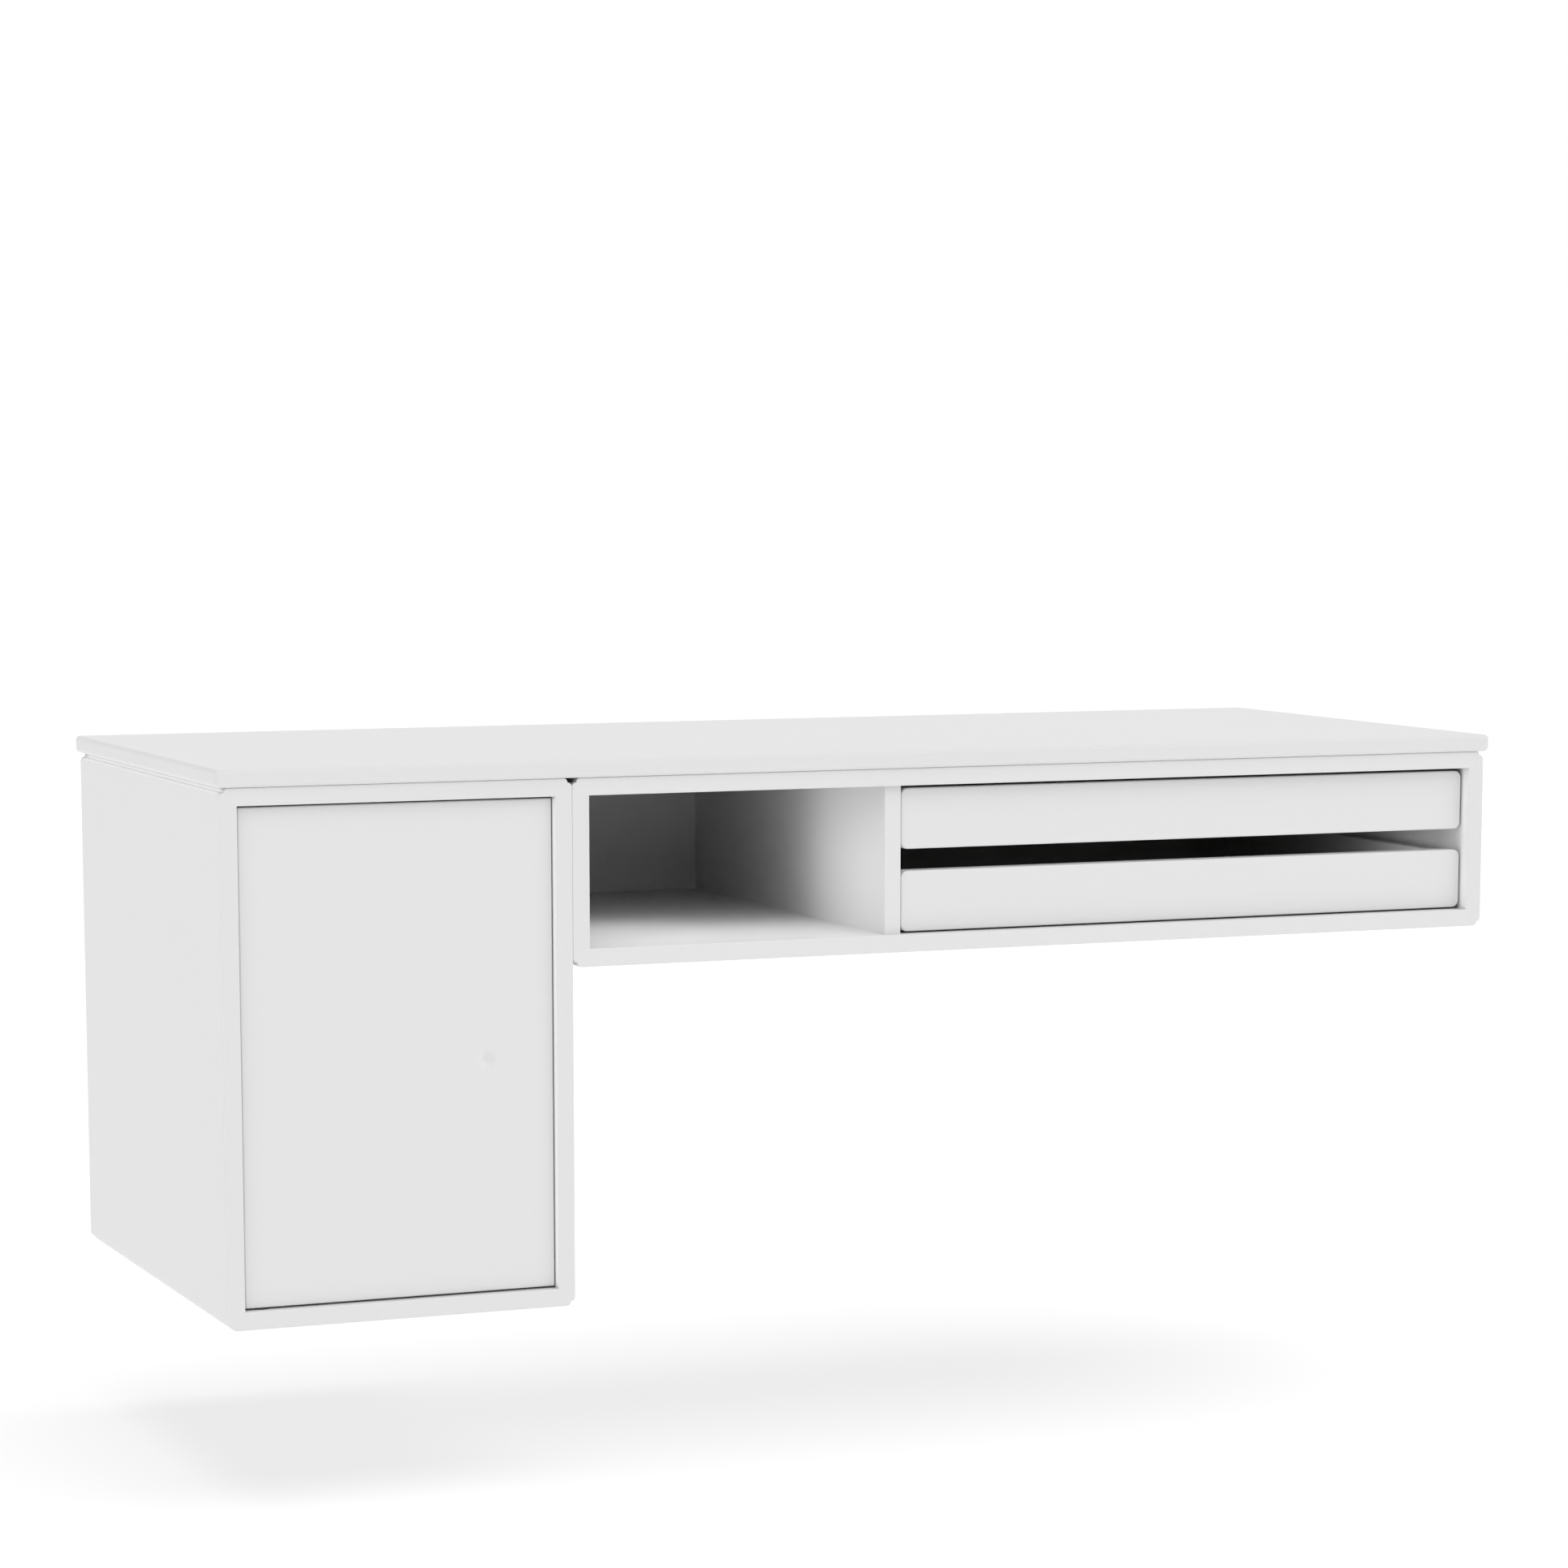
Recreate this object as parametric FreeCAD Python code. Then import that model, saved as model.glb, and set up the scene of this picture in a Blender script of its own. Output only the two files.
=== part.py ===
"""Floating wall desk: a tabletop over a door cabinet and a low unit with an open bay and two drawers.

Millimetres. +X runs to the right seen from the front, +Y to the wall, +Z up.
The origin is on the wall, in the middle of the screw holes of the low unit's wall rail.
"""
import FreeCAD, Part
import math
import os

# Carcasses
panel = 12.0  # thickness of the carcass panels
carcass_depth = 372.0  # from the wall to the front edges
cabinet_width = 240.0
cabinet_height = 354.0
unit_width = 696.0
unit_height = 126.0
tip_radius = 3.0  # quarter round on the outer tip of each mitred edge
edge_radius = 0.8  # softened front edges
back_thickness = 8.0
groove_depth = 5.0  # of the grooves that hold the back panels
groove_room = 0.5  # left free at the bottom of every panel groove
spline_width = 8.0  # keys in the mitred corners
spline_thickness = 3.0
spline_centre = 7.5  # from the outer faces to the middle of the key
mitre_angle = 45.0
spline_front_margin = 20.0
spline_back_margin = 30.0

# Tabletop
top_thickness = 12.0
top_overhang = 3.0
top_edge_radius = 3.0

# Open bay and what closes the fronts
bay_width = 216.0  # inner width of the open bay
front_setback = 5.5  # of the divider and the door behind the carcass edges

# Door
door_thickness = 12.0
door_hinge_gap = 1.5  # on the hinge side
door_latch_gap = 0.7  # on the free side
door_top_gap = 1.3
door_bottom_gap = 1.3
door_edge_radius = 1.0
swing_room = 0.4  # between the turning hinge edge and the cabinet side
dimple_radius = 7.2  # finger dimple where the door is pressed
dimple_depth = 2.6
dimple_rim = 0.06  # the last part of its soft rim, left off where it meets the face
dimple_profile_points = 9
dimple_inset = 46.5  # from the door's free edge to the dimple's middle
dimple_drop = 8.4  # below the door's middle
hinge_pin_radius = 2.5
hinge_pin_seat = 14.0  # length of a hinge pin inside the door
hinge_pin_reach = 7.0  # length of a hinge pin inside its bush
bush_radius = 4.5
bush_end_room = 1.0  # past the hinge pin's tip
bush_flange_radius = 5.5
upper_flange = 1.0
running_room = 0.05  # radial, around a hinge pin and the latch's plunger
latch_width = 20.0
latch_height = 30.0
latch_end_wall = 4.0  # of the housing behind the plunger's bore
latch_gap = 0.2  # between the magnet and the strike plate
latch_screw_spread = 18.0
latch_screw_count = 2
latch_counterbore = 6.0
plunger_radius = 4.5
plunger_reach = 4.0  # length of the plunger in front of its housing
plunger_seat = 22.0  # length of the plunger inside its housing
plunger_press = 3.0  # that the plunger can be pressed in
plunger_end_room = 1.0
magnet_radius = 3.0
magnet_length = 4.0
strike_radius = 6.0
strike_thickness = 1.2
strike_stud_radius = 2.0
strike_stud_length = 6.0

# Drawers
finger_gap = 15.0  # open slit between the two drawer fronts
drawer_setback = 8.5
drawer_top_gap = 2.3  # above the upper drawer
drawer_bottom_gap = 1.2  # below the lower drawer
drawer_side_gap = 1.3
drawer_front_thickness = 12.0
drawer_corner_radius = 5.0
drawer_front_edge_radius = 1.0
drawer_wall = 10.0
drawer_rim_drop = 1.5  # of the sides and back below the top of the front
drawer_rim_radius = 1.5
drawer_bottom_thickness = 4.0
drawer_bottom_lift = 4.0  # from the sides' lower edges to the bottom panel
drawer_bottom_groove = 4.0
buffer_length = 3.5
buffer_radius = 5.0
buffer_inset = 70.0  # from the drawer's ends
buffer_gap = 0.2
runner_height = 7.4
runner_bite = 4.5  # of the runner in the groove of the drawer side
runner_room = 0.3  # around the runner in its groove
runner_lift = 17.0  # from the drawer's lower edge to its groove
runner_front_stop = 18.0  # closed end of the groove behind the front
runner_back_room = 6.0
runner_screw_inset = 25.0
runner_screw_count = 3
runner_counterbore = 2.5

# Wall rails and hanging strips
steel = 1.2
hook_room = 0.15
rail_web = 24.0
rail_lip = 10.0
rail_end_room = 20.0  # from the carcass sides to the rail's ends
rail_front_room = 1.3  # from the rail's lip to the back panel
rail_hole_radius = 2.75
rail_hole_inset = 16.0
unit_rail_hole_count = 4
cabinet_rail_hole_count = 2
strip_web = 21.8
strip_top_room = 13.0  # from the strip's upper edge to the carcass top panel
hook_end_room = 2.0  # below the hook of a hanging strip
strip_screw_grip = 6.5
strip_screw_inset = 15.0
unit_strip_screw_count = 5
cabinet_strip_screw_count = 2

# Screws, bolts and dowels
screw_radius = 1.5
screw_head_radius = 2.7
screw_head = 1.6
screw_room = 0.1
screw_grip = 8.0  # length of a wood screw in the piece it bites into
top_screw_counterbore = 3.0
top_screw_front_inset = 55.0
top_screw_back_inset = 60.0
top_screw_side_inset = 45.0
unit_top_screw_columns = 3
bolt_radius = 2.4
bolt_head_radius = 6.0
bolt_head = 1.5
bolt_end_room = 2.0  # between the bolt's tip and the end of the sleeve
sleeve_radius = 3.5
bolt_front_inset = 60.0
bolt_back_inset = 60.0
bolt_height_spread = 50.0
dowel_room = 0.05
divider_dowel_radius = 3.0
divider_dowel_in_panel = 8.0
divider_dowel_in_divider = 12.0
divider_dowel_inset = 60.0
drawer_dowel_radius = 2.5
drawer_dowel_in_side = 10.0
drawer_dowel_in_front = 8.0
drawer_dowel_in_wall = 5.0
drawer_dowel_margin = 1.0  # above the bottom panel and above the runner groove

# Places worked out from the sizes above
hook_gap = steel + 2 * hook_room
wall_void = hook_gap + steel + rail_front_room
shelf_z = rail_web / 2
lip_z = shelf_z + rail_lip
front_y = -carcass_depth
back_face_y = -wall_void - back_thickness
top_z = lip_z + steel + strip_web + strip_top_room + panel
unit_left = -unit_width / 2
unit_right = unit_width / 2
cabinet_left = unit_left - cabinet_width
unit_low = top_z - unit_height
cabinet_low = top_z - cabinet_height
divider_left = unit_left + panel + bay_width
divider_right = divider_left + panel
setback_y = front_y + front_setback
drawer_left = divider_right + drawer_side_gap
drawer_right = unit_right - panel - drawer_side_gap
drawer_face_y = front_y + drawer_setback
drawer_room = unit_height - 2 * panel - drawer_top_gap - drawer_bottom_gap
drawer_height = (drawer_room - finger_gap) / 2
drawer_back_y = back_face_y - buffer_length - buffer_gap
drawer_inside_y = drawer_face_y + drawer_front_thickness
lower_drawer_z = unit_low + panel + drawer_bottom_gap
upper_drawer_z = lower_drawer_z + drawer_height + finger_gap
door_left = cabinet_left + panel + door_hinge_gap
door_right = unit_left - panel - door_latch_gap
door_low = cabinet_low + panel + door_bottom_gap
door_high = top_z - panel - door_top_gap
door_back_y = setback_y + door_thickness
half_edge = door_thickness / 2 - door_edge_radius
free_gap = door_hinge_gap - swing_room
pivot_inset = door_edge_radius + (half_edge ** 2 - free_gap ** 2) / (2 * free_gap)
pivot_x = door_left + pivot_inset
pivot_y = setback_y + door_thickness / 2
middle_z = (door_low + door_high) / 2
dimple_x = door_right - dimple_inset
dimple_z = middle_z - dimple_drop
plunger_bore = plunger_seat + plunger_press + plunger_end_room
latch_depth = plunger_bore + latch_end_wall
bush_length = hinge_pin_reach + bush_end_room
strip_hook = rail_lip - hook_end_room
same_place = 1e-6  # distance under which two points count as one

ALONG_X = FreeCAD.Vector(1, 0, 0)
ALONG_Y = FreeCAD.Vector(0, 1, 0)
ALONG_Z = FreeCAD.Vector(0, 0, 1)


def box(low, high):
    """Block between two corners."""
    size = [b - a for a, b in zip(low, high)]
    return Part.makeBox(*size, FreeCAD.Vector(*low))


def rod(radius, start, direction, length):
    """Round bar from a point along a direction."""
    return Part.makeCylinder(radius, length, FreeCAD.Vector(*start), direction)


def softened(shape, radius, wanted):
    """Shape with the wanted edges rounded."""
    return shape.makeFillet(radius, [edge for edge in shape.Edges if wanted(edge)])


def on_plane(edge, axis, value):
    """True where an edge lies in a plane across the named axis."""
    return all(abs(getattr(vertex, axis) - value) < same_place for vertex in edge.Vertexes)


def is_slanted(edge):
    """True for a straight edge that runs along neither X nor Z, as a mitre does."""
    first, last = edge.Vertexes[0].Point, edge.Vertexes[-1].Point
    run, rise = abs(first.x - last.x), abs(first.z - last.z)
    return edge.Curve.TypeId == "Part::GeomLine" and min(run, rise) > same_place


def pan_screw(seat, direction, length, head_radius=screw_head_radius, head=screw_head, shank=screw_radius):
    """Screw with its head on the seat and its shank along the direction."""
    seat = FreeCAD.Vector(*seat)
    body = Part.makeCylinder(head_radius, head, seat - direction * head, direction)
    return body.fuse(Part.makeCylinder(shank, length, seat, direction)).removeSplitter()


def screw_hole(seat, direction, length, shank=screw_radius, counterbore=0.0, head_radius=screw_head_radius):
    """Space for a screw's shank, with an open counterbore in front of its seat."""
    seat = FreeCAD.Vector(*seat)
    space = Part.makeCylinder(shank + screw_room, length + screw_room, seat, direction)
    if counterbore > 0:
        mouth = seat - direction * counterbore
        space = space.fuse(Part.makeCylinder(head_radius + screw_room, counterbore, mouth, direction))
    return space


def spread(first, last, count):
    """Evenly spaced values from first to last."""
    return [first + (last - first) * index / (count - 1) for index in range(count)]


def mitred_panel(length, place):
    """Panel with mitred ends and rounded outer tips. place turns (along, inward) into a point."""
    r = tip_radius
    slack = r / math.sqrt(2)
    near = (2 * r - slack, r - slack)
    start, end = place(2 * r, 0), place(length - 2 * r, 0)
    left, right = place(r, r), place(length - r, r)
    inner_left, inner_right = place(panel, panel), place(length - panel, panel)
    edges = [
        Part.LineSegment(start, end).toShape(),
        Part.Arc(end, place(length - near[0], near[1]), right).toShape(),
        Part.LineSegment(right, inner_right).toShape(),
        Part.LineSegment(inner_right, inner_left).toShape(),
        Part.LineSegment(inner_left, left).toShape(),
        Part.Arc(left, place(*near), start).toShape(),
    ]
    solid = Part.Face(Part.Wire(edges)).extrude(FreeCAD.Vector(0, carcass_depth, 0))
    return softened(solid, edge_radius, lambda e: on_plane(e, "Y", front_y) and not is_slanted(e))


def corner_spline(corner_x, corner_z, side, rise):
    """Key across one mitred corner. side and rise point from the corner into the carcass."""
    half_width, half_thick = spline_width / 2, spline_thickness / 2
    key = box(
        (-half_width, front_y + spline_front_margin, -half_thick),
        (half_width, -spline_back_margin, half_thick),
    )
    key.rotate(FreeCAD.Vector(0, 0, 0), ALONG_Y, mitre_angle * side * rise)
    key.translate(FreeCAD.Vector(corner_x + side * spline_centre, 0, corner_z + rise * spline_centre))
    return key


def carcass(left, width, low, height):
    """Four mitred panels, the back panel and the corner keys of one carcass."""
    right, high = left + width, low + height
    places = {
        "bottom": (width, lambda u, v: FreeCAD.Vector(left + u, front_y, low + v)),
        "top": (width, lambda u, v: FreeCAD.Vector(left + u, front_y, high - v)),
        "left_side": (height, lambda u, v: FreeCAD.Vector(left + v, front_y, low + u)),
        "right_side": (height, lambda u, v: FreeCAD.Vector(right - v, front_y, low + u)),
    }
    splines = [
        corner_spline(left, low, 1, 1),
        corner_spline(right, low, -1, 1),
        corner_spline(left, high, 1, -1),
        corner_spline(right, high, -1, -1),
    ]
    reach = panel - groove_depth
    groove = box((left + reach, back_face_y, low + reach), (right - reach, -wall_void, high - reach))
    reach = reach + groove_room
    back = box((left + reach, back_face_y, low + reach), (right - reach, -wall_void, high - reach))
    pieces = {side: mitred_panel(*size).cut([groove] + splines) for side, size in places.items()}
    pieces["back"] = back
    pieces["corner_splines"] = Part.makeCompound(splines)
    return pieces


def divider():
    """Upright between the open bay and the drawers."""
    low = (divider_left, setback_y, unit_low + panel)
    high = (divider_right, back_face_y, top_z - panel)
    upright = box(low, high)

    def front_corner(edge):
        return on_plane(edge, "Y", setback_y) and (
            on_plane(edge, "X", divider_left) or on_plane(edge, "X", divider_right)
        )

    return softened(upright, edge_radius, front_corner)


def divider_dowels(room=0.0):
    """Dowels that hold the divider to the top and bottom of its carcass."""
    radius = divider_dowel_radius + room
    length = divider_dowel_in_panel + divider_dowel_in_divider + 2 * room
    x = divider_left + panel / 2
    dowels = []
    for y in (setback_y + divider_dowel_inset, back_face_y - divider_dowel_inset):
        upper = top_z - panel - divider_dowel_in_divider - room
        lower = unit_low + panel - divider_dowel_in_panel - room
        dowels += [rod(radius, (x, y, z), ALONG_Z, length) for z in (lower, upper)]
    return dowels


def tabletop():
    """Board over both carcasses, rounded all round except at the wall."""
    low = (cabinet_left - top_overhang, front_y - top_overhang, top_z)
    high = (unit_right + top_overhang, 0, top_z + top_thickness)
    return softened(box(low, high), top_edge_radius, lambda edge: not on_plane(edge, "Y", 0))


def top_screw_seats():
    """Places of the screws that hold the tabletop, from inside the carcasses."""
    rows = (front_y + top_screw_front_inset, -top_screw_back_inset)
    cabinet_ends = (cabinet_left + top_screw_side_inset, unit_left - top_screw_side_inset)
    unit_ends = (unit_left + top_screw_side_inset, unit_right - top_screw_side_inset)
    columns = list(cabinet_ends) + spread(*unit_ends, unit_top_screw_columns)
    return [(x, y, top_z - panel + top_screw_counterbore) for x in columns for y in rows]


def top_screw_length():
    """Length of a tabletop screw below its head."""
    return panel - top_screw_counterbore + screw_grip


def joining_places():
    """Places of the bolts through the two carcass sides that lie against each other."""
    middle = unit_low + unit_height / 2
    heights = (middle - bolt_height_spread / 2, middle + bolt_height_spread / 2)
    return [(y, z) for y in (front_y + bolt_front_inset, -bolt_back_inset) for z in heights]


def joining_bolt(y, z):
    """Flat-headed bolt from the cabinet side."""
    length = 2 * panel - bolt_end_room
    return pan_screw((unit_left - panel, y, z), ALONG_X, length, bolt_head_radius, bolt_head, bolt_radius)


def joining_nut(y, z):
    """Flanged sleeve nut from the open bay, over the bolt."""
    seat = unit_left + panel
    sleeve = rod(sleeve_radius, (unit_left, y, z), ALONG_X, panel)
    flange = rod(bolt_head_radius, (seat, y, z), ALONG_X, bolt_head)
    thread = rod(bolt_radius + screw_room, (unit_left, y, z), ALONG_X, panel)
    return sleeve.fuse(flange).cut(thread).removeSplitter()


def joining_hole(y, z):
    """Hole through both sides for a bolt and its sleeve."""
    return rod(sleeve_radius + screw_room, (unit_left - panel, y, z), ALONG_X, 2 * panel)


def profile_strip(outline, left, right):
    """Bent steel strip: an outline of (y, z) points drawn out along X."""
    points = [FreeCAD.Vector(left, y, z) for y, z in outline]
    face = Part.Face(Part.makePolygon(points + points[:1]))
    return face.extrude(FreeCAD.Vector(right - left, 0, 0))


def wall_rail(left, right, holes):
    """Rail on the wall: a web with screw holes and a raised lip that carries the hanging strip."""
    outline = [
        (0, -shelf_z),
        (0, shelf_z),
        (-hook_gap, shelf_z),
        (-hook_gap, lip_z),
        (-hook_gap - steel, lip_z),
        (-hook_gap - steel, shelf_z - steel),
        (-steel, shelf_z - steel),
        (-steel, -shelf_z),
    ]
    rail = profile_strip(outline, left, right)
    return rail.cut([rod(rail_hole_radius, (x, -steel, 0), ALONG_Y, steel) for x in holes])


def strip_screws(left, right, count):
    """Seats of the screws that hold a hanging strip to its back panel."""
    z = lip_z + steel + strip_web / 2
    columns = spread(left + strip_screw_inset, right - strip_screw_inset, count)
    return [(x, -wall_void + steel, z) for x in columns]


def hanging_strip(left, right, seats):
    """Strip behind a back panel whose hook drops behind the lip of the wall rail."""
    hook_y = -hook_room
    outline = [
        (hook_y, lip_z - strip_hook),
        (hook_y, lip_z + steel),
        (-wall_void + steel, lip_z + steel),
        (-wall_void + steel, lip_z + steel + strip_web),
        (-wall_void, lip_z + steel + strip_web),
        (-wall_void, lip_z),
        (hook_y - steel, lip_z),
        (hook_y - steel, lip_z - strip_hook),
    ]
    return profile_strip(outline, left, right).cut([strip_screw_hole(seat) for seat in seats])


def strip_screw(seat):
    """Screw through a hanging strip into the back panel."""
    return pan_screw(seat, -ALONG_Y, steel + strip_screw_grip)


def strip_screw_hole(seat):
    """Space for that screw."""
    return screw_hole(seat, -ALONG_Y, steel + strip_screw_grip)


def door():
    """Flat slab set back in the cabinet's frame."""
    slab = box((door_left, setback_y, door_low), (door_right, door_back_y, door_high))

    def soft_edge(edge):
        return on_plane(edge, "Y", setback_y) or on_plane(edge, "X", door_left)

    return softened(slab, door_edge_radius, soft_edge)


def hinge_pin(end_z, direction, gap):
    """Pin seated in the door's end, reaching through the gap into its bush."""
    start = (pivot_x, pivot_y, end_z - direction.z * hinge_pin_seat)
    return rod(hinge_pin_radius, start, direction, hinge_pin_seat + gap + hinge_pin_reach)


def hinge_bush(face_z, direction, flange):
    """Flanged bush in the cabinet's top or bottom, with its flange in the gap."""
    body = rod(bush_radius, (pivot_x, pivot_y, face_z), direction, bush_length)
    collar = rod(bush_flange_radius, (pivot_x, pivot_y, face_z), -direction, flange)
    start = (pivot_x, pivot_y, face_z - direction.z * flange)
    bore = rod(hinge_pin_radius + running_room, start, direction, flange + bush_length)
    return body.fuse(collar).cut(bore).removeSplitter()


def bush_hole(face_z, direction):
    """Blind hole for a hinge bush."""
    return rod(bush_radius + dowel_room, (pivot_x, pivot_y, face_z), direction, bush_length)


def dimple():
    """Shallow round hollow with a soft rim in the door's face, for a fingertip."""
    steps = [i / (dimple_profile_points - 1) for i in range(dimple_profile_points)]
    depths = [dimple_depth * (1 + math.cos(math.pi * step)) / 2 - dimple_rim for step in steps]
    hollow = [FreeCAD.Vector(dimple_radius * step, depth, 0) for step, depth in zip(steps, depths)]
    curve = Part.BSplineCurve()
    curve.interpolate(hollow)
    above = [FreeCAD.Vector(dimple_radius, -dimple_depth, 0), FreeCAD.Vector(0, -dimple_depth, 0)]
    sides = Part.makePolygon([hollow[-1]] + above + [hollow[0]])
    half = Part.Face(Part.Wire([curve.toShape()] + sides.Edges))
    tool = half.revolve(FreeCAD.Vector(0, 0, 0), ALONG_Y, 360)
    tool.translate(FreeCAD.Vector(dimple_x, setback_y, dimple_z))
    return tool


def plunger_tip():
    """Middle of the latch plunger's front end, behind the door's free edge."""
    return unit_left - panel - latch_width / 2, door_back_y + latch_gap, dimple_z


def latch_front():
    """Middle of the latch housing's front face."""
    x, y, z = plunger_tip()
    return x, y + plunger_reach, z


def latch_screw_seats():
    """Seats of the two screws that hold the latch housing."""
    x, y, z = latch_front()
    seat_x = x - latch_width / 2 + latch_counterbore
    heights = spread(z - latch_screw_spread / 2, z + latch_screw_spread / 2, latch_screw_count)
    return [(seat_x, y + latch_depth / 2, height) for height in heights]


def latch_screw_length():
    """Length of a latch screw below its head."""
    return latch_width - latch_counterbore + screw_grip


def latch_housing():
    """Block on the cabinet's right side, bored for the plunger of the touch latch."""
    x, y, z = latch_front()
    low = (x - latch_width / 2, y, z - latch_height / 2)
    high = (x + latch_width / 2, y + latch_depth, z + latch_height / 2)
    length = latch_screw_length()
    holes = [
        screw_hole(seat, ALONG_X, length, counterbore=latch_counterbore)
        for seat in latch_screw_seats()
    ]
    bore = rod(plunger_radius + running_room, (x, y, z), ALONG_Y, plunger_bore)
    return box(low, high).cut(holes + [bore])


def latch_plunger():
    """Round plunger that is pressed in through the door, with a seat for its magnet."""
    body = rod(plunger_radius, plunger_tip(), ALONG_Y, plunger_reach + plunger_seat)
    return body.cut(rod(magnet_radius + dowel_room, plunger_tip(), ALONG_Y, magnet_length))


def latch_magnet():
    """Round magnet, flush with the plunger's front end."""
    return rod(magnet_radius, plunger_tip(), ALONG_Y, magnet_length)


def strike_plate(room=0.0):
    """Steel disc with a stud, let into the back of the door."""
    x, _, z = plunger_tip()
    disc = rod(strike_radius + room, (x, door_back_y, z), -ALONG_Y, strike_thickness)
    stud_start = (x, door_back_y - strike_thickness, z)
    return disc.fuse(rod(strike_stud_radius + room, stud_start, -ALONG_Y, strike_stud_length + room))


def runner_front_y():
    """Front end of the runners."""
    return drawer_inside_y + runner_front_stop + runner_room


def runner_back_y():
    """Back end of the runners."""
    return back_face_y - runner_back_room


def runner_sides():
    """Faces that carry the runners, with the direction from each face to the drawer."""
    return {"left": (divider_right, 1), "right": (unit_right - panel, -1)}


def runner(face_x, inward, drawer_z):
    """Strip along a carcass face that the drawer's groove runs on."""
    far_x = face_x + inward * (drawer_side_gap + runner_bite)
    low_z = drawer_z + runner_lift + runner_room
    low = (min(face_x, far_x), runner_front_y(), low_z)
    high = (max(face_x, far_x), runner_back_y(), low_z + runner_height)
    return box(low, high)


def runner_screw_seats(face_x, inward, drawer_z):
    """Seats of the screws that hold one runner."""
    x = face_x + inward * (drawer_side_gap + runner_bite - runner_counterbore)
    z = drawer_z + runner_lift + runner_room + runner_height / 2
    first, last = runner_front_y() + runner_screw_inset, runner_back_y() - runner_screw_inset
    return [(x, y, z) for y in spread(first, last, runner_screw_count)]


def runner_screw_length():
    """Length of a runner screw below its head."""
    return drawer_side_gap + runner_bite - runner_counterbore + screw_grip


def runner_groove(face_x, inward, drawer_z):
    """Groove in a drawer's side, closed behind the front and open at the back."""
    side_x = face_x + inward * drawer_side_gap
    deep_x = side_x + inward * (runner_bite + runner_room)
    low_z = drawer_z + runner_lift
    low = (min(side_x, deep_x), drawer_inside_y + runner_front_stop, low_z)
    high = (max(side_x, deep_x), drawer_back_y, low_z + runner_height + 2 * runner_room)
    return box(low, high)


def drawer_front(drawer_z):
    """Front with rounded corners and softened face edges."""
    slab = box(
        (drawer_left, drawer_face_y, drawer_z),
        (drawer_right, drawer_inside_y, drawer_z + drawer_height),
    )

    def corner(edge):
        return not on_plane(edge, "Y", drawer_face_y) and not on_plane(edge, "Y", drawer_inside_y)

    slab = softened(slab, drawer_corner_radius, corner)
    return softened(slab, drawer_front_edge_radius, lambda edge: on_plane(edge, "Y", drawer_face_y))


def drawer_dowels(drawer_z, room=0.0):
    """Dowels between the front and the sides, and between the sides and the back."""
    radius = drawer_dowel_radius + room
    bottom_top = drawer_z + drawer_bottom_lift + drawer_bottom_thickness
    groove_top = drawer_z + runner_lift + runner_height + 2 * runner_room
    heights = [z + drawer_dowel_margin + drawer_dowel_radius for z in (bottom_top, groove_top)]
    along_y = drawer_dowel_in_front + drawer_dowel_in_side + 2 * room
    along_x = 2 * drawer_dowel_in_wall + 2 * room
    y = drawer_inside_y - drawer_dowel_in_front - room
    back_y = drawer_back_y - drawer_wall / 2
    dowels = []
    for z in heights:
        for x in (drawer_left + drawer_wall / 2, drawer_right - drawer_wall / 2):
            dowels.append(rod(radius, (x, y, z), ALONG_Y, along_y))
        for x in (drawer_left + drawer_wall, drawer_right - drawer_wall):
            dowels.append(rod(radius, (x - drawer_dowel_in_wall - room, back_y, z), ALONG_X, along_x))
    return dowels


def drawer(drawer_z):
    """Pieces of one drawer: front, sides, back, bottom and dowels."""
    rim = drawer_z + drawer_height - drawer_rim_drop
    inner_left, inner_right = drawer_left + drawer_wall, drawer_right - drawer_wall
    inner_back_y = drawer_back_y - drawer_wall
    low_z = drawer_z + drawer_bottom_lift
    high_z = low_z + drawer_bottom_thickness
    reach = drawer_bottom_groove
    groove = box(
        (inner_left - reach, drawer_inside_y - reach, low_z),
        (inner_right + reach, inner_back_y + reach, high_z),
    )
    holes = drawer_dowels(drawer_z, dowel_room)
    rails = [runner_groove(face, inward, drawer_z) for face, inward in runner_sides().values()]

    def board(left, front, right, back):
        slab = box((left, front, drawer_z), (right, back, rim))
        longest = max(right - left, back - front) - same_place
        slab = softened(slab, drawer_rim_radius, lambda e: on_plane(e, "Z", rim) and e.Length > longest)
        return slab.cut([groove] + holes + rails)

    reach = reach - groove_room
    bottom = box(
        (inner_left - reach, drawer_inside_y - reach, low_z),
        (inner_right + reach, inner_back_y + reach, high_z),
    )
    return {
        "front": drawer_front(drawer_z).cut([groove] + holes),
        "left_side": board(drawer_left, drawer_inside_y, inner_left, drawer_back_y),
        "right_side": board(inner_right, drawer_inside_y, drawer_right, drawer_back_y),
        "back": board(inner_left, inner_back_y, inner_right, drawer_back_y),
        "bottom": bottom,
        "dowels": Part.makeCompound(drawer_dowels(drawer_z)),
    }


def drawer_buffers():
    """Soft buffers on the back panel that the closed drawers meet."""
    buffers = []
    for drawer_z in (lower_drawer_z, upper_drawer_z):
        for x in (drawer_left + buffer_inset, drawer_right - buffer_inset):
            start = (x, back_face_y, drawer_z + drawer_height / 2)
            buffers.append(rod(buffer_radius, start, -ALONG_Y, buffer_length))
    return Part.makeCompound(buffers)


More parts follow.
